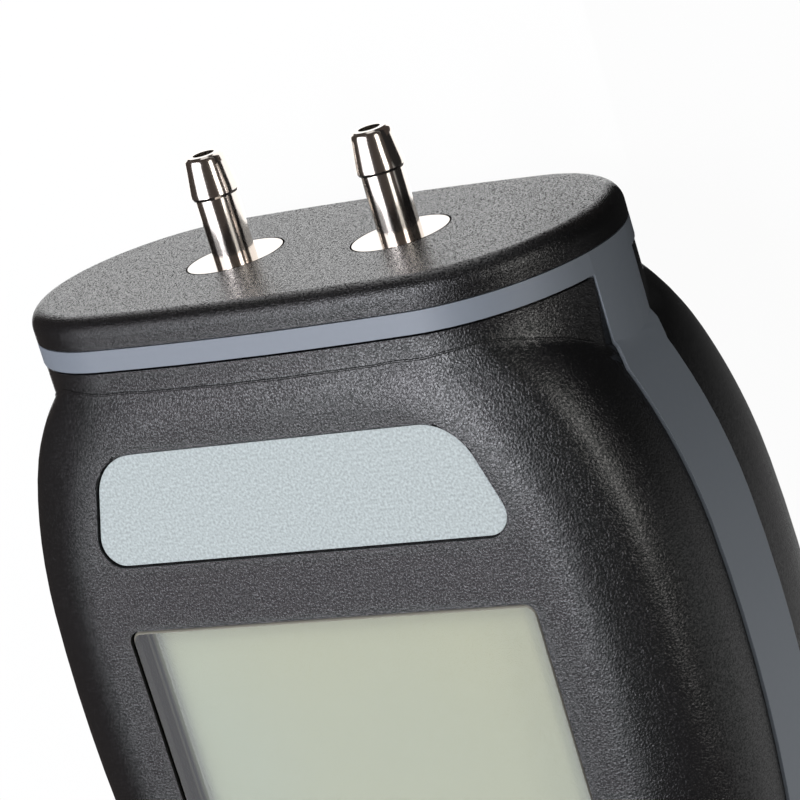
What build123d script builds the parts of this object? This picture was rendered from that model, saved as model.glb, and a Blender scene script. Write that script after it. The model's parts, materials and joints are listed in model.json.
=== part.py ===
# A hand-held differential pressure meter, lying on its back. Sizes are millimetres.
# +X runs across the meter, +Y along it towards the hose ports, +Z out of its front face.
# The origin is the middle of the whole outline, on the plane of the back face.
# A drop is a distance below the top of the cap, measured towards the bottom end.

import os
from math import atan2, cos, degrees, radians, sin, sqrt

from build123d import *

os.makedirs("parts", exist_ok=True)

# Overall form
housing_length = 165.0
thickness = 38.0
wall = 2.4
split_z = 21.35
front_round = 11.0
back_round = 16.8

# Front view of the cases: widest beside the display, narrower where the hand holds it
widest_half_width = 38.4
widest_drop = 44.0
grip_half_width = 32.7
side_radius = 149.0
side_angle = 5.0
shoulder_radius = 51.5
shoulder_angle = 22.0
corner_radius = 24.6
top_end_radius = 257.0
waist_drop = 116.0
bottom_corner_radius = 22.0
bottom_end_radius = 130.0

# Cap, the ring under it and the neck of the cases
cap_width = 65.8
cap_depth = 32.7
cap_end_radius = 15.6
cap_centre_shift = 0.25
cap_height = 3.2
cap_edge_round = 1.8
ring_height = 2.2
ring_thickness = 2.2
ring_gap_height = 0.25
ring_gap_depth = 0.8
cap_gap_height = 0.12
neck_recess = 0.15
neck_blend_depth = 17.0
cap_rim_thickness = 1.2
cap_rim_height = 5.2
rim_clearance = 0.1

# Band of the side frame
band_low_z = 18.0
band_high_z = 26.0
band_proud = 0.3
band_sunk = 1.2
band_clearance = 0.1
neck_band_shift = 1.05
neck_band_drop = 12.7
neck_band_blend = 2.0

# Hose ports
port_spacing = 20.0
port_axis_z = 21.0
port_reach = 10.8
flange_radius = 4.95
flange_height = 1.0
flange_clearance = 0.2
shank_radius = 2.16
barb_radius = 2.45
barb_start = 6.5
barb_undercut = 0.3
barb_land = 0.4
tip_radius = 2.0
tip_chamfer = 0.3
port_bore_radius = 1.1
thread_radius = 2.9
thread_clearance = 0.1
thread_length = 7.5
spigot_radius = 1.9
spigot_length = 6.0
seal_radius = 4.6
seal_thickness = 0.8
nut_across_flats = 9.0
nut_thickness = 2.6

# Inner hoses and pressure sensor
hose_wall = 1.2
hose_clearance = 0.05
hose_end_gap = 0.5
sensor_width = 28.0
sensor_length = 22.0
sensor_depth_below_axis = 6.4
sensor_drop = 24.0
sensor_barb_length = 5.5
sensor_bore_radius = 0.8
sensor_bore_depth = 4.5

# Label plate and its recess
label_drop = 13.9
label_height = 11.6
label_top_half_width = 21.0
label_bottom_half_width = 24.95
label_top_corner = 5.5
label_bottom_corner = 2.4
label_thickness = 0.4
label_sunk = 0.3
label_clearance = 0.2

# Display
window_half_width = 24.1
window_drop = 32.7
window_height = 44.0
window_corner = 1.2
window_sunk = 0.2
window_clearance = 0.15
window_edge_chamfer = 0.25
window_lip = 1.2
window_lip_thickness = 0.95
display_clearance = 0.2
display_frame_wall = 1.4
panel_thickness = 2.2
backlight_thickness = 2.2
strip_width = 1.4
strip_inset = 1.0

# Main board
board_thickness = 1.6
board_top_z = 30.0
board_step_drop = 84.0
board_post_gap = 1.5
board_half_width = 30.8
board_grip_half_width = 28.4
board_boss_radius = 2.4
board_screw_radius = 0.85
board_screw_head_radius = 1.8
board_screw_head_height = 1.3
board_screw_length = 5.0
screw_clearance = 0.05
screw_tip_gap = 0.5
board_hole_radius = 1.1
upper_board_screw_x = 28.2
upper_board_screw_drop = 36.0
lower_board_screw_x = 25.4
buzzer_radius = 6.0
buzzer_height = 4.5
buzzer_drop = 62.0
buzzer_hole_radius = 1.0
buzzer_hole_depth = 2.0
chip_side = 12.0
chip_height = 1.6
chip_drop = 100.0

# Keys: two rows of three and the power key below them
key_length = 11.4
key_width = 8.6
key_proud = 1.2
key_round = 0.8
key_clearance = 0.2
key_lip = 0.9
key_lip_thickness = 0.8
key_pitch_x = 15.2
key_pitch_y = 16.0
power_key_step = 18.0
key_gap = 0.9
mat_thickness = 0.8
mat_pad_height = 0.8
mat_margin = 3.0
mat_corner = 3.0

# Battery, its chamber and door
battery_width = 26.5
battery_length = 46.4
battery_depth = 17.0
battery_round = 1.5
battery_clearance = 0.3
terminal_height = 1.7
terminal_spacing = 12.7
small_terminal_radius = 2.9
large_terminal_radius = 4.0
contact_plate_thickness = 1.2
contact_gap = 0.1
chamber_wall = 1.5
door_thickness = 1.8
door_ledge = 1.4
door_corner = 2.5
door_clearance = 0.15
door_end_rise = 23.8
door_screw_land = 8.5
door_screw_radius = 1.2
door_screw_head_radius = 2.3
door_screw_head_height = 1.1
door_screw_length = 8.0
door_boss_radius = 3.0
door_tab_width = 8.0
door_tab_reach = 1.4
door_tab_thickness = 0.8
grip_groove_count = 4
grip_groove_pitch = 2.4
grip_groove_length = 14.0
grip_groove_radius = 0.8
grip_groove_depth = 0.4
grip_groove_step = 9.0

# Case screws
upper_case_screw_x = 26.0
upper_case_screw_drop = 21.0
lower_case_screw_x = 21.0
lower_case_screw_rise = 15.0
case_post_radius = 4.2
case_screw_radius = 1.45
case_screw_hole_radius = 1.7
case_screw_head_radius = 2.7
case_screw_head_height = 2.0
case_screw_recess_radius = 3.0
case_screw_seat_z = 4.6
case_screw_length = 24.0
screw_slot_width = 0.7
screw_slot_depth = 0.7
screw_slot_share = 0.75

# Places that follow from the sizes above
lower_case_screw_drop = housing_length - lower_case_screw_rise
board_drop = upper_case_screw_drop + case_post_radius + board_post_gap
board_end_drop = lower_case_screw_drop - case_post_radius - board_post_gap
cap_top_y = (housing_length + band_proud - port_reach) / 2
bottom_y = cap_top_y - housing_length
cap_centre_z = port_axis_z + cap_centre_shift
ring_bottom_drop = cap_height + ring_height
front_inner_z = thickness - wall
board_bottom_z = board_top_z - board_thickness
window_top_z = thickness - window_sunk
lip_bottom_z = front_inner_z - window_lip_thickness
window_centre_drop = window_drop + window_height / 2
panel_bottom_z = board_top_z + backlight_thickness
mat_pad_top_z = board_top_z + mat_thickness + mat_pad_height
key_bottom_z = mat_pad_top_z + key_gap
key_top_z = thickness + key_proud
battery_low_z = door_thickness + battery_clearance
chamber_half_width = battery_width / 2 + battery_clearance
chamber_top_z = battery_low_z + battery_depth + battery_clearance
door_end_drop = housing_length - door_end_rise
chamber_end_drop = door_end_drop - door_screw_land
battery_drop = chamber_end_drop - battery_clearance - battery_length
contact_drop = battery_drop - terminal_height - contact_gap - contact_plate_thickness
chamber_start_drop = contact_drop - contact_gap
door_start_drop = chamber_start_drop - door_ledge
door_half_width = chamber_half_width + door_ledge
door_screw_drop = chamber_end_drop + door_screw_land / 2
grip_groove_drop = door_screw_drop - grip_groove_step
key_spread = key_pitch_x * 2 + key_length
mat_length = key_pitch_y + power_key_step + key_width + 2 * mat_margin
window_end_drop = window_drop + window_height + window_lip
mat_start_drop = (window_end_drop + lower_case_screw_drop - case_post_radius - mat_length) / 2
first_row_drop = mat_start_drop + mat_margin + key_width / 2
second_row_drop = first_row_drop + key_pitch_y
power_key_drop = second_row_drop + power_key_step
port_places = [(-port_spacing / 2, "low_port"), (port_spacing / 2, "high_port")]
case_screw_places = [
    (upper_case_screw_x, upper_case_screw_drop),
    (-upper_case_screw_x, upper_case_screw_drop),
    (lower_case_screw_x, lower_case_screw_drop),
    (-lower_case_screw_x, lower_case_screw_drop),
]
board_screw_places = [
    (upper_board_screw_x, upper_board_screw_drop),
    (-upper_board_screw_x, upper_board_screw_drop),
    (lower_board_screw_x, power_key_drop),
    (-lower_board_screw_x, power_key_drop),
]


def at(drop):
    """The y of a place at this drop below the top of the cap."""
    return cap_top_y - drop


def polar(centre, radius, angle):
    """The point at a distance and an angle, in degrees, from a centre."""
    return (centre[0] + radius * cos(radians(angle)), centre[1] + radius * sin(radians(angle)))


def spots(places):
    """Points in plan for a list of (x, drop) places."""
    return [(x, at(drop)) for x, drop in places]


def save(piece, name):
    """Label a finished piece and write it under its own name."""
    piece.label = name
    export_step(piece, f"parts/{name}.step")


# Centres of the arcs in the front view, each tangent to the next
side_centre = (widest_half_width - side_radius, at(widest_drop))
shoulder_centre = polar(side_centre, side_radius - shoulder_radius, side_angle)
corner_centre = polar(shoulder_centre, shoulder_radius - corner_radius, shoulder_angle)
top_end_centre = (
    0.0,
    corner_centre[1] - sqrt((top_end_radius - corner_radius) ** 2 - corner_centre[0] ** 2),
)
top_tangent = degrees(atan2(corner_centre[1] - top_end_centre[1], corner_centre[0]))
waist_run = grip_half_width - side_centre[0]
waist_step = waist_drop - widest_drop
waist_radius = (waist_step**2 + waist_run**2 - side_radius**2) / (2 * (side_radius - waist_run))
waist_centre = (grip_half_width + waist_radius, at(waist_drop))
waist_angle = degrees(atan2(waist_step, waist_run + waist_radius))
bottom_end_centre = (0.0, bottom_y + bottom_end_radius)
bottom_corner_x = grip_half_width - bottom_corner_radius
bottom_corner_centre = (
    bottom_corner_x,
    bottom_end_centre[1] - sqrt((bottom_end_radius - bottom_corner_radius) ** 2 - bottom_corner_x ** 2),
)
bottom_tangent = degrees(atan2(bottom_corner_centre[1] - bottom_end_centre[1], bottom_corner_x))


def body_outline(inset):
    """Front view of the cases below the neck, moved inwards all round by the inset."""
    top_end = top_end_radius - inset
    corner = corner_radius - inset
    shoulder = shoulder_radius - inset
    side = side_radius - inset
    waist = waist_radius + inset
    bottom_corner = bottom_corner_radius - inset
    bottom_end = bottom_end_radius - inset
    with BuildSketch() as outline:
        with BuildLine():
            CenterArc(top_end_centre, top_end, 90, top_tangent - 90)
            CenterArc(corner_centre, corner, top_tangent, shoulder_angle - top_tangent)
            CenterArc(shoulder_centre, shoulder, shoulder_angle, side_angle - shoulder_angle)
            CenterArc(side_centre, side, side_angle, -waist_angle - side_angle)
            CenterArc(waist_centre, waist, 180 - waist_angle, waist_angle)
            Line(polar(waist_centre, waist, 180), polar(bottom_corner_centre, bottom_corner, 0))
            CenterArc(bottom_corner_centre, bottom_corner, 0, bottom_tangent)
            CenterArc(bottom_end_centre, bottom_end, bottom_tangent, -90 - bottom_tangent)
            mirror(about=Plane.YZ)
        make_face()
    return outline.sketch


# The cap's outline is two bowed long sides between two round ends
cap_end_x = cap_width / 2 - cap_end_radius
cap_side_radius = (cap_end_x ** 2 + (cap_depth / 2) ** 2 - cap_end_radius ** 2) / (
    cap_depth - 2 * cap_end_radius
)
cap_side_offset = cap_side_radius - cap_depth / 2
cap_tangent = degrees(atan2(cap_side_offset, cap_end_x))


def cap_outline(inset):
    """Outline of the cap seen from its top, moved inwards all round by the inset."""
    with BuildSketch() as outline:
        with BuildLine():
            CenterArc((cap_end_x, 0), cap_end_radius - inset, 0, cap_tangent)
            CenterArc((0, -cap_side_offset), cap_side_radius - inset, cap_tangent, 90 - cap_tangent)
            mirror(about=Plane.YZ)
            mirror(about=Plane.XZ)
        make_face()
    return outline.sketch


def crosswise(drop):
    """Plane across the meter at a drop, centred on the cap and facing the bottom end."""
    return Plane(origin=(0, at(drop), cap_centre_z), x_dir=(1, 0, 0), z_dir=(0, -1, 0))


def case_form(inset):
    """Both cases as one solid form, moved inwards by the inset."""
    with BuildPart() as form:
        with BuildSketch(Plane.XY.offset(inset)):
            add(body_outline(inset))
        extrude(amount=thickness - 2 * inset)
        fillet(form.edges().group_by(Axis.Z)[0], back_round - inset)
        fillet(form.edges().group_by(Axis.Z)[-1], front_round - inset)
        with BuildSketch(crosswise(ring_bottom_drop)):
            add(cap_outline(neck_recess + inset))
        extrude(amount=neck_blend_depth)
        with BuildSketch(crosswise(ring_bottom_drop)):
            Rectangle(2 * cap_width, 2 * thickness)
        extrude(amount=-housing_length, mode=Mode.SUBTRACT)
    return form.part


def band_space(margin):
    """Where the band may be, grown by a margin: a slab that lies nearer the back beside the neck."""
    with BuildPart() as space:
        with BuildSketch(Plane.YZ):
            with BuildLine():
                Polyline(
                    (cap_top_y, band_high_z - neck_band_shift + margin),
                    (at(neck_band_drop), band_high_z - neck_band_shift + margin),
                    (at(neck_band_drop + neck_band_blend), band_high_z + margin),
                    (at(2 * housing_length), band_high_z + margin),
                    (at(2 * housing_length), band_low_z - margin),
                    (at(neck_band_drop + neck_band_blend), band_low_z - margin),
                    (at(neck_band_drop), band_low_z - neck_band_shift - margin),
                    (cap_top_y, band_low_z - neck_band_shift - margin),
                    close=True,
                )
            make_face()
        extrude(amount=cap_width, both=True)
    return space.part


def band_form(inset, margin):
    """The cases' side walls within the band's space, moved inwards by the inset."""
    with BuildPart() as form:
        with BuildSketch(crosswise(cap_height)):
            add(cap_outline(max(inset, 0)))
        extrude(amount=neck_blend_depth + ring_height)
        with BuildSketch(Plane.XY):
            add(body_outline(inset))
        extrude(amount=thickness)
        add(band_space(margin), mode=Mode.INTERSECT)
        with BuildSketch(crosswise(cap_height)):
            Rectangle(2 * cap_width, 2 * thickness)
        extrude(amount=-housing_length, mode=Mode.SUBTRACT)
    return form.part


def posts(places, radius, low_z, high_z):
    """Round posts at places given as x and drop."""
    with BuildPart() as group:
        with BuildSketch(Plane.XY.offset(low_z)):
            with Locations(*spots(places)):
                Circle(radius)
        extrude(amount=high_z - low_z)
    return group.part


# Keys from left to right and top to bottom, with the power key by itself
key_places = {
    "hold_key": (-key_pitch_x, at(first_row_drop)),
    "light_key": (0, at(first_row_drop)),
    "units_key": (key_pitch_x, at(first_row_drop)),
    "zero_key": (-key_pitch_x, at(second_row_drop)),
    "record_key": (0, at(second_row_drop)),
    "range_key": (key_pitch_x, at(second_row_drop)),
    "power_key": (0, at(power_key_drop)),
}

# Forms that the cases, the frame and the cap share
with BuildPart() as outer:
    add(case_form(0))
    with BuildSketch(crosswise(ring_bottom_drop)):
        add(cap_outline(0))
        add(cap_outline(ring_gap_depth), mode=Mode.SUBTRACT)
    extrude(amount=ring_gap_height, mode=Mode.SUBTRACT)
outer_form = outer.part
inner_form = case_form(wall)
band_seat = band_form(band_sunk + band_clearance, band_clearance)


def band_groove():
    """What the cases lose to the side frame's band."""
    with BuildPart() as groove:
        add(band_space(band_clearance))
        add(band_seat, mode=Mode.SUBTRACT)
    return groove.part


def label_outline(margin):
    """The label's trapezoid with its rounded corners, grown by a margin."""
    top = at(label_drop)
    bottom = at(label_drop + label_height)
    with BuildSketch() as outline:
        with BuildLine():
            Polyline(
                (-label_top_half_width, top),
                (label_top_half_width, top),
                (label_bottom_half_width, bottom),
                (-label_bottom_half_width, bottom),
                close=True,
            )
        make_face()
        fillet(outline.vertices().group_by(Axis.Y)[-1], label_top_corner)
        fillet(outline.vertices().sort_by(Axis.Y)[0:2], label_bottom_corner)
        if margin > 0:
            offset(amount=margin)
    return outline.sketch


def window_outline(margin):
    """The display window's rounded rectangle, grown by a margin."""
    with BuildSketch() as outline:
        with Locations((0, at(window_centre_drop))):
            RectangleRounded(
                2 * (window_half_width + margin), window_height + 2 * margin, window_corner + max(margin, 0)
            )
    return outline.sketch


# Front case: shell, window, label recess, key holes, screw posts
with BuildPart() as front_hollow:
    add(inner_form)
    add(posts(case_screw_places, case_post_radius, split_z, thickness), mode=Mode.SUBTRACT)
    add(posts(board_screw_places, board_boss_radius, board_top_z, thickness), mode=Mode.SUBTRACT)

with BuildPart() as front_case:
    add(outer_form)
    add(front_hollow, mode=Mode.SUBTRACT)
    add(band_groove(), mode=Mode.SUBTRACT)
    with Locations((0, 0, split_z / 2)):
        Box(2 * cap_width, 2 * housing_length, split_z, mode=Mode.SUBTRACT)
    with BuildSketch(Plane.XY.offset(thickness - label_thickness - label_sunk)):
        add(label_outline(label_clearance))
    extrude(amount=wall, mode=Mode.SUBTRACT)
    with BuildSketch(Plane.XY.offset(front_inner_z)):
        add(window_outline(window_clearance))
    extrude(amount=2 * wall, mode=Mode.SUBTRACT)
    with BuildSketch(Plane.XY.offset(front_inner_z)):
        with Locations(*key_places.values()):
            SlotOverall(key_length + 2 * key_clearance, key_width + 2 * key_clearance)
    extrude(amount=2 * wall, mode=Mode.SUBTRACT)
    screw_depth = case_screw_seat_z + case_screw_length + screw_tip_gap
    add(
        posts(case_screw_places, case_screw_radius + screw_clearance, 0, screw_depth),
        mode=Mode.SUBTRACT,
    )
    add(
        posts(
            board_screw_places,
            board_screw_radius + screw_clearance,
            board_bottom_z,
            board_bottom_z + board_screw_length + screw_tip_gap,
        ),
        mode=Mode.SUBTRACT,
    )
save(front_case.part, "front_case")

# Back case: shell, screw posts, battery chamber, door recess
chamber_length = chamber_end_drop - chamber_start_drop
chamber_centre_y = at((chamber_start_drop + chamber_end_drop) / 2)
door_length = door_end_drop - door_start_drop
door_centre_y = at((door_start_drop + door_end_drop) / 2)

with BuildPart() as back_hollow:
    add(inner_form)
    add(posts(case_screw_places, case_post_radius, 0, split_z), mode=Mode.SUBTRACT)
    with BuildSketch(Plane.XY):
        with Locations((0, chamber_centre_y)):
            Rectangle(2 * (chamber_half_width + chamber_wall), chamber_length + 2 * chamber_wall)
    extrude(amount=chamber_top_z + chamber_wall, mode=Mode.SUBTRACT)
    add(
        posts([(0, door_screw_drop)], door_boss_radius, 0, door_thickness + door_screw_length),
        mode=Mode.SUBTRACT,
    )

with BuildPart() as back_case:
    add(outer_form)
    add(back_hollow, mode=Mode.SUBTRACT)
    add(band_groove(), mode=Mode.SUBTRACT)
    with Locations((0, 0, split_z + thickness / 2)):
        Box(2 * cap_width, 2 * housing_length, thickness, mode=Mode.SUBTRACT)
    with BuildSketch(Plane.XY):
        with Locations((0, chamber_centre_y)):
            Rectangle(2 * chamber_half_width, chamber_length)
    extrude(amount=chamber_top_z, mode=Mode.SUBTRACT)
    with BuildSketch(Plane.XY):
        with Locations((0, door_centre_y)):
            RectangleRounded(
                2 * (door_half_width + door_clearance), door_length + 2 * door_clearance, door_corner
            )
    extrude(amount=door_thickness, mode=Mode.SUBTRACT)
    tab_low_z = door_thickness - door_tab_thickness
    with BuildSketch(Plane.XY.offset(tab_low_z - door_clearance)):
        with Locations((0, at(door_start_drop - door_tab_reach / 2))):
            Rectangle(door_tab_width + 2 * door_clearance, door_tab_reach + 2 * door_clearance)
    extrude(amount=door_tab_thickness + door_clearance, mode=Mode.SUBTRACT)
    add(
        posts(case_screw_places, case_screw_recess_radius, -wall, case_screw_seat_z),
        mode=Mode.SUBTRACT,
    )
    add(posts(case_screw_places, case_screw_hole_radius, 0, split_z), mode=Mode.SUBTRACT)
    add(
        posts(
            [(0, door_screw_drop)],
            door_screw_radius + screw_clearance,
            0,
            door_screw_head_height + door_screw_length + screw_tip_gap,
        ),
        mode=Mode.SUBTRACT,
    )
save(back_case.part, "back_case")

# Side frame: a ring under the cap and a band down both sides and round the bottom end
with BuildPart() as side_frame:
    add(band_form(-band_proud, 0))
    add(band_form(band_sunk, wall), mode=Mode.SUBTRACT)
    with BuildSketch(crosswise(cap_height)):
        add(cap_outline(0))
        add(cap_outline(ring_thickness), mode=Mode.SUBTRACT)
    extrude(amount=ring_height)
save(side_frame.part, "side_frame")

# Top cap with two counterbored port holes and a rim that centres it in the neck
rim_inset = neck_recess + wall + rim_clearance
with BuildPart() as top_cap:
    with BuildSketch(crosswise(0)):
        add(cap_outline(0))
    extrude(amount=cap_height)
    fillet(top_cap.edges().group_by(Axis.Y)[-1], cap_edge_round)
    with BuildSketch(crosswise(cap_height - cap_gap_height)):
        add(cap_outline(0))
        add(cap_outline(ring_gap_depth), mode=Mode.SUBTRACT)
    extrude(amount=cap_gap_height, mode=Mode.SUBTRACT)
    with BuildSketch(crosswise(cap_height)):
        add(cap_outline(rim_inset))
        add(cap_outline(rim_inset + cap_rim_thickness), mode=Mode.SUBTRACT)
    extrude(amount=cap_rim_height)
    with Locations(Plane(origin=(0, cap_top_y, port_axis_z), x_dir=(1, 0, 0), z_dir=(0, 1, 0))):
        with GridLocations(port_spacing, 1, 2, 1):
            CounterBoreHole(
                thread_radius + thread_clearance, flange_radius + flange_clearance, flange_height
            )
save(top_cap.part, "top_cap")


def turned_port(x):
    """Hose port turned from one bar: barb, shank, flange, thread and inner spigot, bored through."""
    with BuildPart() as port:
        with BuildSketch(Plane(origin=(x, cap_top_y, port_axis_z))):
            with BuildLine():
                Polyline(
                    (port_bore_radius, port_reach),
                    (tip_radius - tip_chamfer, port_reach),
                    (tip_radius, port_reach - tip_chamfer),
                    (barb_radius, barb_start + barb_undercut + barb_land),
                    (barb_radius, barb_start + barb_undercut),
                    (barb_radius - barb_undercut / 2, barb_start),
                    (shank_radius, barb_start),
                    (shank_radius, 0),
                    (flange_radius, 0),
                    (flange_radius, -flange_height),
                    (thread_radius, -flange_height),
                    (thread_radius, -flange_height - thread_length),
                    (spigot_radius, -flange_height - thread_length),
                    (spigot_radius, -flange_height - thread_length - spigot_length),
                    (port_bore_radius, -flange_height - thread_length - spigot_length),
                    close=True,
                )
            make_face()
        revolve(axis=Axis((x, 0, port_axis_z), (0, 1, 0)))
    return port.part


for port_x, port_name in port_places:
    save(turned_port(port_x), port_name)


def lengthwise(drop):
    """Plane across the port axes at a drop, facing the bottom end."""
    return Plane(origin=(0, at(drop), port_axis_z), x_dir=(1, 0, 0), z_dir=(0, -1, 0))


# Sealing washers under the cap and the nuts that hold the ports
with BuildPart() as port_seals:
    with BuildSketch(lengthwise(cap_height)):
        with GridLocations(port_spacing, 1, 2, 1):
            Circle(seal_radius)
            Circle(thread_radius + thread_clearance, mode=Mode.SUBTRACT)
    extrude(amount=seal_thickness)
save(port_seals.part, "port_seals")

with BuildPart() as port_nuts:
    with BuildSketch(lengthwise(cap_height + seal_thickness)):
        with GridLocations(port_spacing, 1, 2, 1):
            RegularPolygon(nut_across_flats / 2, 6, major_radius=False)
            Circle(thread_radius + thread_clearance, mode=Mode.SUBTRACT)
    extrude(amount=nut_thickness)
save(port_nuts.part, "port_nuts")

# Two inner hoses from the ports' spigots to the sensor's barbs
hose_start_drop = flange_height + thread_length + hose_end_gap
hose_end_drop = sensor_drop - hose_end_gap
hose_inner_radius = spigot_radius + hose_clearance
for port_x, port_name in port_places:
    hose_name = port_name.replace("port", "hose")
    with BuildPart() as inner_hose:
        with BuildSketch(lengthwise(hose_start_drop)):
            with Locations((port_x, 0)):
                Circle(hose_inner_radius + hose_wall)
                Circle(hose_inner_radius, mode=Mode.SUBTRACT)
        extrude(amount=hose_end_drop - hose_start_drop)
    save(inner_hose.part, hose_name)

# Differential pressure sensor on the back of the board, with a barb for each hose
sensor_low_z = port_axis_z - sensor_depth_below_axis
with BuildPart() as pressure_sensor:
    with BuildSketch(Plane.XY.offset(sensor_low_z)):
        with Locations((0, at(sensor_drop + sensor_length / 2))):
            Rectangle(sensor_width, sensor_length)
    extrude(amount=board_bottom_z - sensor_low_z)
    with BuildSketch(lengthwise(sensor_drop - sensor_barb_length)):
        with GridLocations(port_spacing, 1, 2, 1):
            Circle(spigot_radius)
    extrude(amount=sensor_barb_length)
    with BuildSketch(lengthwise(sensor_drop - sensor_barb_length)):
        with GridLocations(port_spacing, 1, 2, 1):
            Circle(sensor_bore_radius)
    extrude(amount=sensor_bore_depth, mode=Mode.SUBTRACT)
save(pressure_sensor.part, "pressure_sensor")

# Label plate
with BuildPart() as label_plate:
    with BuildSketch(Plane.XY.offset(thickness - label_thickness - label_sunk)):
        add(label_outline(0))
    extrude(amount=label_thickness)
save(label_plate.part, "label_plate")

# Clear window: a block that fills the opening, on a lip inside the front wall
with BuildPart() as display_window:
    with BuildSketch(Plane.XY.offset(front_inner_z)):
        add(window_outline(0))
    extrude(amount=window_top_z - front_inner_z)
    chamfer(display_window.edges().group_by(Axis.Z)[-1], window_edge_chamfer)
    with BuildSketch(Plane.XY.offset(lip_bottom_z)):
        add(window_outline(window_lip))
    extrude(amount=window_lip_thickness)
save(display_window.part, "display_window")

# Frame that holds the display on the board
with BuildPart() as display_frame:
    with BuildSketch(Plane.XY.offset(board_top_z)):
        add(window_outline(display_frame_wall))
        add(window_outline(0), mode=Mode.SUBTRACT)
    extrude(amount=lip_bottom_z - board_top_z)
save(display_frame.part, "display_frame")

# Liquid crystal panel, the light guide behind it and the rubber strips that connect it
panel_half_width = window_half_width - display_clearance
panel_start_drop = window_drop + display_clearance
panel_height = window_height - 2 * display_clearance
strip_drop = panel_start_drop + panel_height - strip_inset - strip_width
with BuildPart() as display_panel:
    with BuildSketch(Plane.XY.offset(panel_bottom_z)):
        add(window_outline(-display_clearance))
    extrude(amount=panel_thickness)
save(display_panel.part, "display_panel")

light_start_drop = panel_start_drop + 2 * strip_inset + strip_width
light_height = strip_drop - strip_inset - light_start_drop
with BuildPart() as backlight:
    with BuildSketch(Plane.XY.offset(board_top_z)):
        with Locations((0, at(light_start_drop + light_height / 2))):
            Rectangle(2 * (panel_half_width - strip_inset), light_height)
    extrude(amount=backlight_thickness)
save(backlight.part, "backlight")

strip_spread = panel_height - 2 * strip_inset - strip_width
with BuildPart() as contact_strips:
    with BuildSketch(Plane.XY.offset(board_top_z)):
        with Locations((0, at(window_centre_drop))):
            with GridLocations(1, strip_spread, 1, 2):
                Rectangle(2 * (panel_half_width - strip_inset), strip_width)
    extrude(amount=backlight_thickness)
save(contact_strips.part, "contact_strips")

# Main board, wide beside the display and narrower in the grip
with BuildPart() as main_board:
    with BuildSketch(Plane.XY.offset(board_bottom_z)):
        with Locations((0, at((board_drop + board_step_drop) / 2))):
            Rectangle(2 * board_half_width, board_step_drop - board_drop)
        with Locations((0, at((board_step_drop + board_end_drop) / 2))):
            Rectangle(2 * board_grip_half_width, board_end_drop - board_step_drop)
        with Locations(*spots(board_screw_places)):
            Circle(board_hole_radius, mode=Mode.SUBTRACT)
    extrude(amount=board_thickness)
save(main_board.part, "main_board")

with BuildPart() as board_screws:
    add(posts(board_screw_places, board_screw_radius, board_bottom_z, board_bottom_z + board_screw_length))
    add(
        posts(
            board_screw_places,
            board_screw_head_radius,
            board_bottom_z - board_screw_head_height,
            board_bottom_z,
        )
    )
save(board_screws.part, "board_screws")

with BuildPart() as buzzer:
    with BuildSketch(Plane.XY.offset(board_bottom_z)):
        with Locations((0, at(buzzer_drop))):
            Circle(buzzer_radius)
    extrude(amount=-buzzer_height)
    with BuildSketch(Plane.XY.offset(board_bottom_z - buzzer_height)):
        with Locations((0, at(buzzer_drop))):
            Circle(buzzer_hole_radius)
    extrude(amount=buzzer_hole_depth, mode=Mode.SUBTRACT)
save(buzzer.part, "buzzer")

with BuildPart() as main_chip:
    with BuildSketch(Plane.XY.offset(board_bottom_z)):
        with Locations((0, at(chip_drop))):
            Rectangle(chip_side, chip_side)
    extrude(amount=-chip_height)
save(main_chip.part, "main_chip")

# Keys: each a cap that slides in its hole, with a lip that keeps it inside the case
lip_top_z = front_inner_z - key_clearance
for key_name, key_place in key_places.items():
    with BuildPart() as key_cap:
        with BuildSketch(Plane.XY.offset(key_bottom_z)):
            with Locations(key_place):
                SlotOverall(key_length, key_width)
        extrude(amount=key_top_z - key_bottom_z)
        fillet(key_cap.edges().group_by(Axis.Z)[-1], key_round)
        with BuildSketch(Plane.XY.offset(lip_top_z - key_lip_thickness)):
            with Locations(key_place):
                SlotOverall(key_length + 2 * key_lip, key_width + 2 * key_lip)
        extrude(amount=key_lip_thickness)
    save(key_cap.part, key_name)

# Rubber mat with a pad under each key, wide under the two rows and narrow under the power key
wide_mat_length = mat_length - power_key_step
with BuildPart() as key_mat:
    with BuildSketch(Plane.XY.offset(board_top_z)):
        with Locations((0, at(mat_start_drop + wide_mat_length / 2))):
            RectangleRounded(key_spread + 2 * mat_margin, wide_mat_length, mat_corner)
        with Locations((0, at(mat_start_drop + mat_length / 2))):
            RectangleRounded(key_length + 2 * mat_margin, mat_length, mat_corner)
    extrude(amount=mat_thickness)
    with BuildSketch(Plane.XY.offset(board_top_z + mat_thickness)):
        with Locations(*key_places.values()):
            SlotOverall(key_length - 2 * key_lip, key_width - 2 * key_lip)
    extrude(amount=mat_pad_height)
save(key_mat.part, "key_mat")

# Battery block with its two snap terminals, and the plate that they press on
battery_axis_z = battery_low_z + battery_depth / 2


def battery_plane(drop):
    """Plane across the battery at a drop, facing the bottom end."""
    return Plane(origin=(0, at(drop), battery_axis_z), x_dir=(1, 0, 0), z_dir=(0, -1, 0))


with BuildPart() as battery:
    with BuildSketch(battery_plane(battery_drop)):
        RectangleRounded(battery_width, battery_depth, battery_round)
    extrude(amount=battery_length)
    with BuildSketch(battery_plane(battery_drop)):
        with Locations((-terminal_spacing / 2, 0)):
            Circle(small_terminal_radius)
        with Locations((terminal_spacing / 2, 0)):
            RegularPolygon(large_terminal_radius, 6)
    extrude(amount=-terminal_height)
save(battery.part, "battery")

with BuildPart() as battery_contacts:
    with BuildSketch(battery_plane(contact_drop)):
        Rectangle(battery_width, battery_depth)
    extrude(amount=contact_plate_thickness)
save(battery_contacts.part, "battery_contacts")

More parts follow.
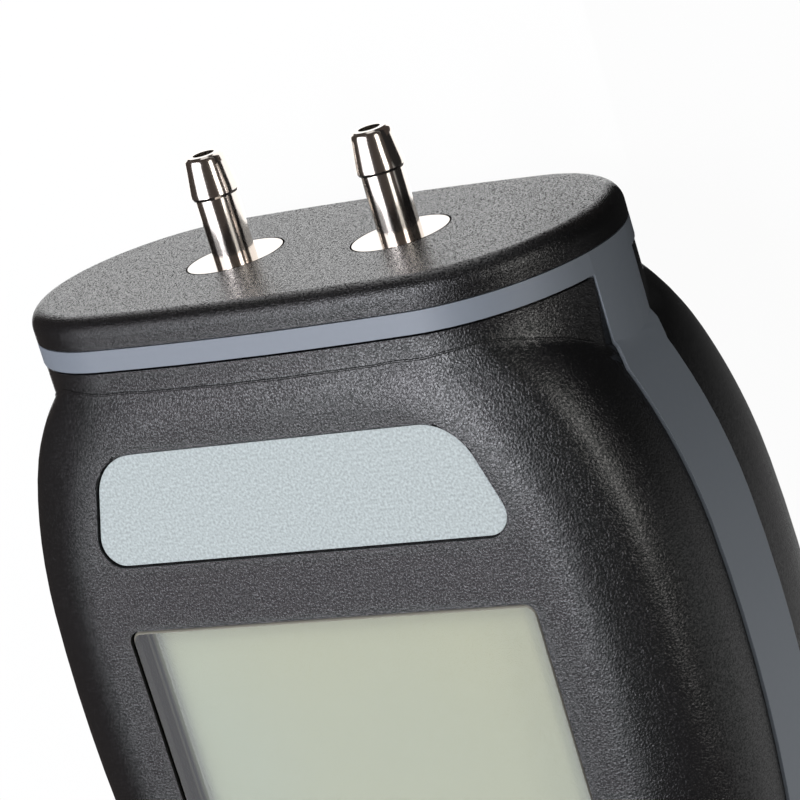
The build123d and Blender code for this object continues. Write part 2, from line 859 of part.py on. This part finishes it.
# Battery door: a flat cover with a tab at one end, a screw at the other and finger grooves
with BuildPart() as battery_door:
    with BuildSketch(Plane.XY):
        with Locations((0, door_centre_y)):
            RectangleRounded(2 * door_half_width, door_length, door_corner)
    extrude(amount=door_thickness)
    with BuildSketch(Plane.XY.offset(tab_low_z)):
        with Locations((0, at(door_start_drop - door_tab_reach / 2))):
            Rectangle(door_tab_width, door_tab_reach)
    extrude(amount=door_tab_thickness)
    with BuildSketch(Plane.XY):
        with Locations((0, at(grip_groove_drop))):
            with GridLocations(1, grip_groove_pitch, 1, grip_groove_count):
                SlotOverall(grip_groove_length, 2 * grip_groove_radius)
    extrude(amount=grip_groove_depth, mode=Mode.SUBTRACT)
    add(
        posts(
            [(0, door_screw_drop)], door_screw_head_radius + screw_clearance, 0, door_screw_head_height
        ),
        mode=Mode.SUBTRACT,
    )
    add(
        posts([(0, door_screw_drop)], door_screw_radius + screw_clearance, 0, door_thickness),
        mode=Mode.SUBTRACT,
    )
save(battery_door.part, "battery_door")


def slotted_screw(places, head_radius, head_low_z, seat_z, stem_radius, length):
    """Round-headed screws that point forwards, with a cross slot in each head."""
    with BuildPart() as group:
        add(posts(places, head_radius, head_low_z, seat_z))
        add(posts(places, stem_radius, seat_z, seat_z + length))
        slot_length = 2 * screw_slot_share * head_radius
        with BuildSketch(Plane.XY.offset(head_low_z)):
            with Locations(*spots(places)):
                Rectangle(slot_length, screw_slot_width)
                Rectangle(screw_slot_width, slot_length)
        extrude(amount=screw_slot_depth, mode=Mode.SUBTRACT)
    return group.part


save(
    slotted_screw(
        [(0, door_screw_drop)],
        door_screw_head_radius,
        0,
        door_screw_head_height,
        door_screw_radius,
        door_screw_length,
    ),
    "door_screw",
)
save(
    slotted_screw(
        case_screw_places,
        case_screw_head_radius,
        case_screw_seat_z - case_screw_head_height,
        case_screw_seat_z,
        case_screw_radius,
        case_screw_length,
    ),
    "case_screws",
)
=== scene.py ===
# Looks of a hand-held differential pressure meter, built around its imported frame. Metres.
import json
import math

import bmesh
import bpy
from mathutils import Matrix, Vector


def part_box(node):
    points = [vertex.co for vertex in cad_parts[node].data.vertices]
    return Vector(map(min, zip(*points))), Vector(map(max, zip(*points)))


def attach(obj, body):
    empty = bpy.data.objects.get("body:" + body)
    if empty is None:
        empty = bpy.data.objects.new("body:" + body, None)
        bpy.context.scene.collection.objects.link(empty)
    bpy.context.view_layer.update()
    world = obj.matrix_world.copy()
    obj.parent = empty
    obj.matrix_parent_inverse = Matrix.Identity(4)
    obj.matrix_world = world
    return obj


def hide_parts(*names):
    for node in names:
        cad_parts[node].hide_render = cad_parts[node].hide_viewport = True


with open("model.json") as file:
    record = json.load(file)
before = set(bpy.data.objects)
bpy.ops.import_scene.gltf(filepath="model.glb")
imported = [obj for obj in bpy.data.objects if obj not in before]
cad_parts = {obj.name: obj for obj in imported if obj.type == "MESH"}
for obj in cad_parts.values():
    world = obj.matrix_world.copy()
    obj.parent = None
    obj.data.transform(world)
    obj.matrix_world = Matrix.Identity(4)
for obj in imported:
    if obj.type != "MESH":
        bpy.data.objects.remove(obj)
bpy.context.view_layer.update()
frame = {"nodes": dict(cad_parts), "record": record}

MM = 0.001
record = frame["record"]
cad = frame["nodes"]
body_of_node = {}
for body_name, members in record["behaviour"]["bodies"].items():
    for member in members:
        body_of_node[member] = body_name
slot_of_node = {entry["node"]: entry["material_slot"] for entry in record["subparts"]}


def linear(hex_colour):
    """An sRGB colour written as hex, as the linear colour that a shader takes."""
    channels = []
    for start in (1, 3, 5):
        value = int(hex_colour[start:start + 2], 16) / 255
        channels.append(value / 12.92 if value <= 0.04045 else ((value + 0.055) / 1.055) ** 2.4)
    return (*channels, 1.0)


def add(tree, kind, values=None, links=None, **settings):
    """One node with its settings, its socket values and its incoming links."""
    node = tree.nodes.new("ShaderNode" + kind)
    for name, setting in settings.items():
        setattr(node, name, setting)
    for socket, value in (values or {}).items():
        node.inputs[socket].default_value = value
    for socket, source in (links or {}).items():
        tree.links.new(source, node.inputs[socket])
    return node


def new_material(name):
    """An empty material and its node tree."""
    material = bpy.data.materials.new(name)
    material.use_nodes = True
    material.node_tree.nodes.clear()
    return material, material.node_tree


def grained_plastic(name, colour, roughness, grain_mm, depth_mm, pits, gloss, up_pit_shade):
    """Moulded plastic whose tool was etched with a leather grain: painted glints and pit shade.

    pits is the range of noise heights from the pits' floor to the pebbles' tops, gloss the
    specular level of the two: low in the pits as painted shade, high on the tops as a painted
    glint. The last argument is that of the pits where the surface faces the ports' way, along
    Y, where their painted shade can be darker still.
    """
    material, tree = new_material(name)
    place = add(tree, "TexCoord").outputs["Object"]
    pebbles = add(
        tree,
        "TexNoise",
        {"Scale": 1 / (grain_mm * MM), "Detail": 1.5, "Roughness": 0.6, "Distortion": 0.6},
        {"Vector": place},
    )
    bump = add(
        tree, "Bump", {"Strength": 1.0, "Distance": depth_mm * MM}, {"Height": pebbles.outputs[0]}
    )
    facing = add(tree, "SeparateXYZ", {}, {0: add(tree, "TexCoord").outputs["Normal"]})
    # Painted shade: the pits on faces towards the ports' way, along Y, get a specular level of
    # their own
    pit_shade_gloss = add(
        tree,
        "MapRange",
        {"From Min": 0.5, "From Max": 0.9, "To Min": gloss[0], "To Max": up_pit_shade},
        {"Value": facing.outputs["Y"]},
    )
    # Painted glint and painted shade: the specular level follows the grain, high on the tops, low
    # in the pits
    tops = add(
        tree,
        "MapRange",
        {"From Min": pits[0], "From Max": pits[1], "To Max": gloss[1]},
        {"Value": pebbles.outputs[0], "To Min": pit_shade_gloss.outputs[0]},
    )
    shader = add(
        tree,
        "BsdfPrincipled",
        {"Base Color": linear(colour), "IOR": 1.5, "Roughness": roughness},
        {"Specular IOR Level": tops.outputs[0], "Normal": bump.outputs[0]},
    )
    add(tree, "OutputMaterial", {}, {"Surface": shader.outputs[0]})
    return material


def satin_plastic(name, colour, roughness, ripple_mm, depth_mm):
    """Plastic or rubber from a polished tool: smooth, with a very slight ripple."""
    material, tree = new_material(name)
    place = add(tree, "TexCoord").outputs["Object"]
    ripple = add(
        tree, "TexNoise", {"Scale": 1 / (ripple_mm * MM), "Detail": 3.0}, {"Vector": place}
    )
    bump = add(
        tree, "Bump", {"Strength": 0.5, "Distance": depth_mm * MM}, {"Height": ripple.outputs[0]}
    )
    tint = add(
        tree,
        "HueSaturation",
        {"Color": linear(colour)},
        {"Value": add(
            tree, "MapRange", {"To Min": 0.97, "To Max": 1.03}, {"Value": ripple.outputs[0]}
        ).outputs[0]},
    )
    shader = add(
        tree,
        "BsdfPrincipled",
        {"Roughness": roughness, "IOR": 1.5},
        {"Base Color": tint.outputs[0], "Normal": bump.outputs[0]},
    )
    add(tree, "OutputMaterial", {}, {"Surface": shader.outputs[0]})
    return material


def turned_metal(name, colour, roughness, feed_mm, depth_mm):
    """Bright plated metal turned on a lathe: a mirror broken by very fine rings along Y.

    Real tool marks lie about 0.05 mm apart, too fine to show, so they are drawn coarser.
    """
    material, tree = new_material(name)
    place = add(tree, "TexCoord").outputs["Object"]
    rings = add(
        tree,
        "TexWave",
        {"Scale": 1 / (feed_mm * MM) / (2 * math.pi), "Distortion": 1.5, "Detail": 2.0},
        {"Vector": place},
        bands_direction="Y",
    )
    bump = add(
        tree,
        "Bump",
        {"Strength": 0.4, "Distance": depth_mm * MM},
        {"Height": rings.outputs["Fac"]},
    )
    shader = add(
        tree,
        "BsdfPrincipled",
        {"Base Color": linear(colour), "Metallic": 1.0, "Roughness": roughness},
        {"Normal": bump.outputs[0]},
    )
    add(tree, "OutputMaterial", {}, {"Surface": shader.outputs[0]})
    return material


def label_film(name, colour):
    """Silver-grey printed film with a pebbled top: a fine speckle of pale and darker grains."""
    material, tree = new_material(name)
    place = add(tree, "TexCoord").outputs["Object"]
    pebble = 0.26 * MM
    grain = add(tree, "TexNoise", {"Scale": 1 / pebble, "Detail": 1.0}, {"Vector": place})
    tint = add(
        tree,
        "HueSaturation",
        {"Color": linear(colour)},
        {"Value": add(
            tree,
            "MapRange",
            {"From Min": 0.3, "From Max": 0.7, "To Min": 0.78, "To Max": 1.22},
            {"Value": grain.outputs[0]},
        ).outputs[0]},
    )
    depth = 0.012 * MM
    bump = add(tree, "Bump", {"Strength": 0.5, "Distance": depth}, {"Height": grain.outputs[0]})
    shader = add(
        tree,
        "BsdfPrincipled",
        {"Roughness": 0.4, "IOR": 1.48},
        {"Base Color": tint.outputs[0], "Normal": bump.outputs[0]},
    )
    add(tree, "OutputMaterial", {}, {"Surface": shader.outputs[0]})
    return material


def clear_acrylic(name):
    """Injection-moulded acrylic: clear, glossy, faintly green, and it lets lamp light through."""
    material, tree = new_material(name)
    shader = add(
        tree,
        "BsdfPrincipled",
        {
            "Base Color": linear("#F4F8F4"),
            "Transmission Weight": 1.0,
            "Roughness": 0.0,
            "IOR": 1.49,
        },
    )
    lets_through = add(tree, "BsdfTransparent", {"Color": linear("#F2F5F2")})
    path = add(tree, "LightPath")
    lamp_light = add(
        tree,
        "Math",
        {},
        {0: path.outputs["Is Shadow Ray"], 1: path.outputs["Is Diffuse Ray"]},
        operation="MAXIMUM",
    )
    mixed = add(
        tree,
        "MixShader",
        {},
        {0: lamp_light.outputs[0], 1: shader.outputs[0], 2: lets_through.outputs[0]},
    )
    add(tree, "OutputMaterial", {}, {"Surface": mixed.outputs[0]})
    return material


def display_glass(name, colour, warm, border_and_shade, half_width):
    """Liquid crystal panel, switched off: pale grey-green, with grey streaks by its end walls.

    The pale colour drifts between two tints over the width of the panel, and the streaks lie
    in the last few millimetres before each end wall: partly the panel's border, and partly
    painted shade of the walls.
    """
    material, tree = new_material(name)
    place = add(tree, "TexCoord").outputs["Object"]
    cloud_width = 38 * MM
    streak_width = 0.7 * MM
    border_shade_start = 3.4 * MM
    border_shade_end = 0.4 * MM
    cloud = add(tree, "TexNoise", {"Scale": 1 / cloud_width, "Detail": 0.0}, {"Vector": place})
    tint = add(
        tree,
        "Mix",
        {6: linear(colour), 7: linear(warm)},
        {"Factor": add(
            tree, "MapRange", {"From Min": 0.35, "From Max": 0.65}, {"Value": cloud.outputs[0]}
        ).outputs[0]},
        data_type="RGBA",
    )
    across = add(tree, "SeparateXYZ", {}, {0: place}).outputs[0]
    side = add(tree, "Math", {}, {0: across}, operation="ABSOLUTE").outputs[0]
    # Painted shade, partly the panel's border: grey streaks over the last millimetres before each
    # end wall
    near_wall = add(
        tree,
        "MapRange",
        {"From Min": half_width - border_shade_start, "From Max": half_width - border_shade_end},
        {"Value": side},
        interpolation_type="SMOOTHSTEP",
    )
    lines = add(
        tree,
        "TexNoise",
        {"Scale": 1 / streak_width, "Detail": 1.0},
        {"W": across},
        noise_dimensions="1D",
    )
    streaks = add(
        tree,
        "Math",
        {},
        {0: near_wall.outputs[0], 1: add(
            tree, "MapRange", {"To Min": 0.35, "To Max": 1.4}, {"Value": lines.outputs[0]}
        ).outputs[0]},
        operation="MULTIPLY",
        use_clamp=True,
    )
    edged = add(
        tree,
        "Mix",
        {7: linear(border_and_shade)},
        {"Factor": streaks.outputs[0], 6: tint.outputs[2]},
        data_type="RGBA",
    )
    shader = add(
        tree,
        "BsdfPrincipled",
        {"Roughness": 0.5, "Specular IOR Level": 0.0},
        {"Base Color": edged.outputs[2]},
    )
    add(tree, "OutputMaterial", {}, {"Surface": shader.outputs[0]})
    return material


# Black ABS, moulded with a leather grain of 0.2 mm: dark, with soft broken highlights,
# and with a painted glint on the pebbles and painted shade in their pits
case_black = grained_plastic(
    "moulded_black_abs", "#161617", 0.22, 0.2, 0.066, (0.38, 0.62), (0.3, 0.92), 0.3
)
# The same on the cap: its top mirrors the pale surroundings, and the pits are dark specks
# of painted shade
cap_black = grained_plastic(
    "moulded_black_abs_of_the_cap", "#141415", 0.2, 0.16, 0.06, (0.41, 0.54), (0.25, 0.76), 0.0
)
# Grey ABS from a polished tool: plain and satin, so it shows the light's direction
trim_grey = satin_plastic("moulded_grey_abs", "#7B828B", 0.42, 0.6, 0.002)
# Turned brass with bright nickel plate: a warm white mirror
bright_nickel = turned_metal("nickel_plated_brass", "#E2DAD2", 0.14, 0.12, 0.0012)
# Printed film on the name plate: pale, and matt enough to show no lamp
silver_film = label_film("printed_silver_film", "#AAB3B2")
# Clear acrylic over the display: only its edges and its gloss are seen
window_clear = clear_acrylic("clear_acrylic")
# Liquid crystal glass behind it: even and matt, because the display is off, but grey by its
# end walls, partly its border and partly painted shade
panel_green = display_glass(
    "liquid_crystal_panel", "#A6A897", "#AEAA90", "#4A494F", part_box("display_panel")[1].x
)
# Black ABS left smooth, inside round the display: a plain dark grey
frame_black = satin_plastic("black_abs_frame", "#3A3A3B", 0.4, 0.8, 0.002)
# The pane's edges: black screen print, and a chamfer left ground, which catches the light
black_print = satin_plastic("screen_printed_black", "#1C1C1D", 0.4, 0.5, 0.001)
ground_acrylic = satin_plastic("ground_acrylic_edge", "#9C998C", 0.35, 0.3, 0.002)
# Pieces inside: pale, black or green plastics and rubbers, and plain metals
light_guide_white = satin_plastic("acrylic_light_guide", "#E6E8E4", 0.25, 1.0, 0.001)
strip_rubber = satin_plastic("layered_silicone", "#8D9094", 0.6, 0.2, 0.004)
board_mask = satin_plastic("solder_mask", "#14502C", 0.3, 0.7, 0.003)
chip_epoxy = grained_plastic(
    "moulded_epoxy", "#151515", 0.5, 0.1, 0.02, (0.3, 0.6), (0.4, 0.6), 0.4
)
buzzer_black = satin_plastic("black_polyester", "#101010", 0.35, 0.6, 0.002)
screw_zinc = turned_metal("zinc_plated_steel", "#B4B4B2", 0.28, 0.1, 0.002)
hose_silicone = satin_plastic("silicone_tube", "#D6D6D0", 0.4, 0.5, 0.003)
seal_black = satin_plastic("nitrile_rubber", "#141414", 0.55, 0.3, 0.004)
nut_brass = turned_metal("turned_brass", "#CFAE62", 0.2, 0.1, 0.002)
sensor_ivory = satin_plastic("sensor_polyester", "#DCD9CF", 0.4, 0.5, 0.003)
# Silicone rubber of the keys and their mat: matt and soft looking
key_grey = satin_plastic("silicone_key_rubber", "#6F757D", 0.5, 0.35, 0.006)
mat_grey = satin_plastic("silicone_mat_rubber", "#3C3E40", 0.55, 0.35, 0.006)
# The battery's printed steel jacket and its nickel-plated contacts
battery_jacket = satin_plastic("printed_steel_jacket", "#31343A", 0.3, 1.2, 0.002)
contact_nickel = turned_metal("nickel_plated_steel", "#C8C4BA", 0.25, 0.2, 0.002)

finish_of_slot = {
    "case_plastic": case_black,
    "grey_plastic": trim_grey,
    "port_nickel": bright_nickel,
    "label_film": silver_film,
    "window_clear": window_clear,
    "panel_glass": panel_green,
    "frame_plastic": frame_black,
    "light_guide": light_guide_white,
    "strip_rubber": strip_rubber,
    "board_green": board_mask,
    "chip_black": chip_epoxy,
    "buzzer_black": buzzer_black,
    "screw_steel": screw_zinc,
    "hose_silicone": hose_silicone,
    "seal_rubber": seal_black,
    "nut_brass": nut_brass,
    "sensor_plastic": sensor_ivory,
    "key_rubber": key_grey,
    "mat_rubber": mat_grey,
    "battery_metal": battery_jacket,
    "contact_metal": contact_nickel,
}


finish_of_node = {node: finish_of_slot[slot] for node, slot in slot_of_node.items()}
finish_of_node["top_cap"] = cap_black


def set_finish(piece, finish):
    """Gives every material slot of a piece one finish."""
    slots = piece.data.materials
    if not slots:
        slots.append(finish)
    for index in range(len(slots)):
        slots[index] = finish


def finish_piece(piece, body, finish):
    """Puts a new piece on its body and in its finish."""
    set_finish(piece, finish)
    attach(piece, body)


# The front edge's round: as the solid has it, and as the photograph shows it. The seen
# form runs up to low_rise above the round's foot, and the solid's takes over by high_rise.
solid_round = 11.0 * MM
seen_round = 9.5 * MM
low_rise = 7.5 * MM
high_rise = 9.9 * MM
front_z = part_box("front_case")[1].z

# The neck reaches no lower than this, and its outside stays behind the flat front
neck_low_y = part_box("top_cap")[1].y - 16 * MM
neck_high_z = front_z - 0.2 * MM

# How the front case's faces lie: a neck's normal has no more than neck_tilt along Y, and the
# normal of a face on the round has more than a wall's along Z and less than the flat front's
neck_tilt = 0.02
wall_tilt = 0.02
front_tilt = 0.9999


def on_neck(face):
    """Whether a face of the solid's front case is on the outside of its neck."""
    middle = face.calc_center_median()
    facing = face.normal.z > 0 and abs(face.normal.y) < neck_tilt
    return facing and middle.y > neck_low_y and middle.z < neck_high_z


def on_shoulder(face):
    """Whether a face of the solid's front case is on the round of its front edge."""
    return wall_tilt < face.normal.z < front_tilt and not on_neck(face)


# How far the seen crease runs above the solid's: distance from the middle, then lift, in mm
crease_lifts = [
    (0, 0.2),
    (8, -0.05),
    (13.5, -0.5),
    (17.8, -0.1),
    (21, 0.5),
    (24.5, 0.2),
    (28.5, -0.2),
    (32, 0),
]
# Over this much of the shoulder below the crease, the lift fades out
lift_fade = 5 * MM


def crease_lift(x):
    """How far the seen crease runs above the solid's at one place, in metres."""
    aside = abs(x) / MM
    for (start, low), (end, high) in zip(crease_lifts, crease_lifts[1:]):
        if aside <= end:
            return (low + (high - low) * (aside - start) / (end - start)) * MM
    return 0


def held(value):
    """A value held between 0 and 1."""
    return min(max(value, 0), 1)


def fuller_shoulder(shell):
    """Moves the front edge's round outwards, from the solid's radius to the seen one.

    Returns the points from left to right where the neck meets the shoulder.
    """
    necks = {face for face in shell.faces if on_neck(face)}
    rounds = {face for face in shell.faces if on_shoulder(face)}
    creases = []
    moved = []
    for corner in shell.verts:
        beside = [face for face in corner.link_faces if face in rounds]
        rise = min(corner.co.z - (front_z - solid_round), solid_round)
        if not beside or rise <= 0:
            continue
        outward = Vector((0, 0, 0))
        for face in beside:
            outward += Vector((face.normal.x, face.normal.y, 0))
        outward.normalize()
        seen_rise = max(rise - (solid_round - seen_round), 0)
        solid_inset = solid_round - math.sqrt(solid_round**2 - rise**2)
        seen_inset = seen_round - math.sqrt(max(seen_round**2 - seen_rise**2, 0))
        # High on the round the two forms run together, so that the label's recess stays as it is
        share = held((high_rise - rise) / (high_rise - low_rise))
        smooth_share = (3 - 2 * share) * share**2
        step = smooth_share * (solid_inset - seen_inset)
        if any(face in necks for face in corner.link_faces):
            corner.co.y += step / outward.y
            creases.append(corner)
        else:
            corner.co += step * outward
        moved.append(corner)
    line = [corner.co.copy() for corner in creases]
    for corner in moved:
        nearest = min(line, key=lambda place: abs(place.x - corner.co.x))
        share = held(1 - (nearest.y - corner.co.y) / lift_fade)
        corner.co.y += share * crease_lift(corner.co.x)
    return sorted((corner.co.copy() for corner in creases), key=lambda place: place.x)


merge_distance = 0.0005 * MM
flat_angle = math.radians(0.05)
sharp_angle = math.radians(17)
corner_angle = math.radians(35)


def smooth_shell(node, edge_mm=0, reshape=None):
    """Replaces a node by a merged, smooth-shaded copy, with its edges rounded if wanted.

    Returns what reshape returns, which is given the copy before it is shaded.
    """
    shell = bmesh.new()
    shell.from_mesh(cad[node].data)
    bmesh.ops.remove_doubles(shell, verts=shell.verts, dist=merge_distance)
    bmesh.ops.dissolve_limit(
        shell,
        angle_limit=flat_angle,
        use_dissolve_boundaries=False,
        verts=shell.verts,
        edges=shell.edges,
        delimit=set(),
    )
    reshaped = reshape(shell) if reshape else None
    for face in shell.faces:
        face.smooth = True
    mesh = bpy.data.meshes.new(node + "_finished")
    shell.to_mesh(mesh)
    shell.free()
    mesh.set_sharp_from_angle(angle=sharp_angle)
    piece = bpy.data.objects.new(node + "_finished", mesh)
    bpy.context.scene.collection.objects.link(piece)
    if edge_mm:
        edges = piece.modifiers.new("rounded_edges", "BEVEL")
        edges.width = edge_mm * MM
        edges.segments = 3
        edges.limit_method = "ANGLE"
        edges.angle_limit = corner_angle
        edges.use_clamp_overlap = True
    even = piece.modifiers.new("even_normals", "WEIGHTED_NORMAL")
    even.keep_sharp = True
    finish_piece(piece, body_of_node[node], finish_of_node[node])
    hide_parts(node)
    return reshaped


shown_outside = [
    "back_case",
    "top_cap",
    "low_port",
    "high_port",
    "label_plate",
    "display_window",
    "display_frame",
    "battery_door",
    "door_screw",
    "case_screws",
]
shown_outside += [node for node, slot in slot_of_node.items() if slot == "key_rubber"]
for node in cad:
    if node == "front_case":
        crease = smooth_shell(node, reshape=fuller_shoulder)
    elif node == "side_frame":
        smooth_shell(node, edge_mm=0.12)
    elif node in shown_outside:
        smooth_shell(node)
    else:
        set_finish(cad[node], finish_of_node[node])


def bead_along(name, points, radius, body, finish):
    """A thin round bead that follows a row of points."""
    line = bpy.data.curves.new(name + "_line", "CURVE")
    line.dimensions = "3D"
    line.bevel_depth = radius
    line.bevel_resolution = 2
    line.use_fill_caps = True
    run = line.splines.new("POLY")
    run.points.add(len(points) - 1)
    for spot, place in zip(run.points, points):
        spot.co = (*place, 1.0)
    guide = bpy.data.objects.new(name + "_line", line)
    mesh = bpy.data.meshes.new_from_object(guide)
    bpy.data.objects.remove(guide)
    mesh.name = name
    for face in mesh.polygons:
        face.use_smooth = True
    piece = bpy.data.objects.new(name, mesh)
    bpy.context.scene.collection.objects.link(piece)
    finish_piece(piece, body, finish)


# A fine witness line of the mould runs where the neck meets the shoulder
bead_along("neck_witness_line", crease, 0.14 * MM, "meter", case_black)

# The pane's sides are printed black and its chamfer is left ground: how steep each one is
side_tilt = 0.3
chamfer_tilt = 0.95
pane = bpy.data.objects["display_window_finished"]
pane.data.materials.append(black_print)
pane.data.materials.append(ground_acrylic)
for face in pane.data.polygons:
    tilt = abs(face.normal.z)
    if tilt < side_tilt:
        face.material_index = 1
    elif tilt < chamfer_tilt:
        face.material_index = 2


# Studio
def stage_piece(name, shape, finish):
    """A piece of the studio, which isn't part of the meter."""
    mesh = bpy.data.meshes.new(name)
    shape.to_mesh(mesh)
    shape.free()
    piece = bpy.data.objects.new(name, mesh)
    piece.data.materials.append(finish)
    bpy.context.scene.collection.objects.link(piece)
    return piece


def seen_rays(tree):
    """1 where the camera looks, straight or through gloss or glass, and 0 for other rays."""
    path = add(tree, "LightPath")
    mirrored = add(
        tree,
        "Math",
        {},
        {0: path.outputs["Is Camera Ray"], 1: path.outputs["Is Glossy Ray"]},
        operation="MAXIMUM",
    )
    seen = add(
        tree,
        "Math",
        {},
        {0: mirrored.outputs[0], 1: path.outputs["Is Transmission Ray"]},
        operation="MAXIMUM",
    )
    return seen.outputs[0]


def glowing_card(name, colour, strength):
    """A card that glows evenly, so that only its brightness shows in a mirror."""
    material, tree = new_material(name)
    glow = add(tree, "Emission", {"Color": linear(colour), "Strength": strength})
    add(tree, "OutputMaterial", {}, {"Surface": glow.outputs[0]})
    return material


# White paper floor: nearly all of what is seen of it is pure white, the rest keeps the shadow
white_share = 0.96
floor_white, tree = new_material("white_paper_floor")
share = add(tree, "Math", {1: white_share}, {0: seen_rays(tree)}, operation="MULTIPLY")
paper = add(tree, "BsdfDiffuse", {"Color": linear("#F2F2F2")})
glow = add(tree, "Emission", {"Strength": 1.0})
mixed = add(
    tree, "MixShader", {}, {0: share.outputs[0], 1: paper.outputs[0], 2: glow.outputs[0]}
)
add(tree, "OutputMaterial", {}, {"Surface": mixed.outputs[0]})

shape = bmesh.new()
bmesh.ops.create_grid(shape, x_segments=1, y_segments=1, size=3.0)
stage_piece("floor", shape, floor_white)


def only_for_bounces(card, for_diffuse):
    """Hides a card from the camera and the lamps; gloss sees it, and diffuse light if wanted."""
    card.visible_camera = False
    card.visible_diffuse = for_diffuse
    card.visible_transmission = False
    card.visible_shadow = False


# Dark cards, which only bounced light sees: they keep the meter's sides dark, as in a studio
curtain_dark = glowing_card("dark_brown_curtain", "#453F3C", 1.0)
# The floor right behind the meter is overexposed, which the cap and the ports mirror
floor_bright = glowing_card("overexposed_floor", "#FFFFFF", 1.45)

# A card that is dark beside the cap and paler towards the meter's lower end: its dimness is
# painted shade, the floor in the meter's shadow as mirrored in the meter's right side
dark_y = 0.065
pale_y = 0.02
card_grey, tree = new_material("shaded_grey_card")
place = add(tree, "SeparateXYZ", {}, {0: add(tree, "TexCoord").outputs["Object"]})
pale = add(
    tree,
    "MapRange",
    {"From Min": dark_y, "From Max": pale_y, "To Min": 0.02, "To Max": 0.48},
    {"Value": place.outputs[1]},
)
glow = add(tree, "Emission", {"Color": linear("#FFFFFF")}, {"Strength": pale.outputs[0]})
add(tree, "OutputMaterial", {}, {"Surface": glow.outputs[0]})

# Every floor card reaches this far behind the meter. Three lie side by side, a little above
# the floor, and the bright one lies between the left and the right one.
card_far_y = 0.6
card_near_y = -0.5
card_height = 0.2 * MM
card_reach = 1.25
bright_low_x = -0.064
bright_high_x = 0.024


def floor_card(name, low_x, high_x, low_y, height, finish, for_diffuse):
    """A card lying beside the meter, just above the floor."""
    shape = bmesh.new()
    bmesh.ops.create_grid(shape, x_segments=1, y_segments=1, size=0.5)
    for corner in shape.verts:
        corner.co.x = low_x if corner.co.x < 0 else high_x
        corner.co.y = low_y if corner.co.y < 0 else card_far_y
        corner.co.z = height
    only_for_bounces(stage_piece(name, shape, finish), for_diffuse)


for name, low_x, high_x, finish, for_diffuse in (
    ("bright_floor_card", bright_low_x, bright_high_x, floor_bright, False),
    ("left_floor_card", -card_reach, bright_low_x, curtain_dark, False),
    ("right_floor_card", bright_high_x, card_reach, card_grey, True),
):
    floor_card(name, low_x, high_x, card_near_y, card_height, finish, for_diffuse)

# A dark strip lies on top of them behind the ports, and is mirrored in their right sides
floor_card("port_shade_card", 0.013, 0.05, 0.088, 2 * card_height, curtain_dark, False)

# A dark curtain, bent round the meter's long axis behind the lamps
curtain_radius = 1.2
shape = bmesh.new()
start = shape.verts.new((-curtain_radius, -3.0, 0))
end = shape.verts.new((-curtain_radius, 4.0, 0))
edge = shape.edges.new((start, end))
bmesh.ops.spin(
    shape,
    geom=[start, end, edge],
    cent=(0, 0, 0),
    axis=(0, 1, 0),
    angle=math.radians(180),
    steps=36,
    use_merge=False,
)
only_for_bounces(stage_piece("dark_curtain", shape, curtain_dark), False)


# Lamps
def softbox(name, azimuth, along, distance, width, height, radiance, colour):
    """A rectangular lamp at an angle round the long axis, facing the meter's upper part."""
    lamp = bpy.data.lights.new(name, "AREA")
    lamp.shape = "RECTANGLE"
    lamp.size = width
    lamp.size_y = height
    lamp.energy = radiance * math.pi * width * height
    lamp.color = linear(colour)[:3]
    holder = bpy.data.objects.new(name, lamp)
    bpy.context.scene.collection.objects.link(holder)
    reach = math.sqrt(1 - along**2)
    towards = Vector(
        (reach * math.sin(math.radians(azimuth)), along, reach * math.cos(math.radians(azimuth)))
    )
    across = Vector((0, 1, 0)).cross(towards).normalized()
    up = towards.cross(across)
    target = Vector((0, 0.04, 0.02))
    turn = Matrix((across, up, towards)).transposed().to_4x4()
    holder.matrix_world = Matrix.Translation(target + distance * towards) @ turn
    holder.visible_camera = False


# A large soft key light with a brighter core, and a narrow light from the right
softbox(
    "key_softbox",
    azimuth=-26,
    along=0.08,
    distance=0.75,
    width=0.8,
    height=0.95,
    radiance=2.0,
    colour="#F7F8FF",
)
softbox(
    "key_core",
    azimuth=-15,
    along=0.2,
    distance=0.74,
    width=0.26,
    height=0.6,
    radiance=6.0,
    colour="#F7F8FF",
)
softbox(
    "side_softbox",
    azimuth=62,
    along=0.22,
    distance=0.75,
    width=0.2,
    height=0.6,
    radiance=4.2,
    colour="#FFFDF9",
)

# The sky: white where it is seen or mirrored, and dim as a light
sky_light = 0.12
world = bpy.data.worlds.new("studio")
bpy.context.scene.world = world
world.use_nodes = True
tree = world.node_tree
tree.nodes.clear()
strength = add(tree, "MapRange", {"To Min": sky_light, "To Max": 1.0}, {"Value": seen_rays(tree)})
sky = add(tree, "Background", {"Color": linear("#FFFFFF")}, {"Strength": strength.outputs[0]})
add(tree, "OutputWorld", {}, {"Surface": sky.outputs[0]})

# Camera: close, from the upper right of the front, with the ports at the top. Its axes and
# its place, from the middle of the cap's top, were solved from the photograph.
right = Vector((0.82370, -0.28086, -0.49258))
up = Vector((0.08926, 0.92210, -0.37651))
back = Vector((0.55996, 0.26616, 0.78460))
cap_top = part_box("top_cap")[1].y
port_low, port_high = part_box("low_port")
port_axis = (port_low.z + port_high.z) / 2
eye = Vector((218.19, 84.13, 298.83)) * MM + Vector((0, cap_top, port_axis))
lens = bpy.data.cameras.new("camera")
lens.sensor_width = 36.0
lens.lens = 174.0
lens.shift_x = -0.0092
lens.shift_y = 0.0028
lens.clip_start = 0.01
camera = bpy.data.objects.new("camera", lens)
camera.matrix_world = Matrix.Translation(eye) @ Matrix((right, up, back)).transposed().to_4x4()
bpy.context.scene.collection.objects.link(camera)
bpy.context.scene.camera = camera

bpy.context.scene.view_settings.view_transform = "Standard"
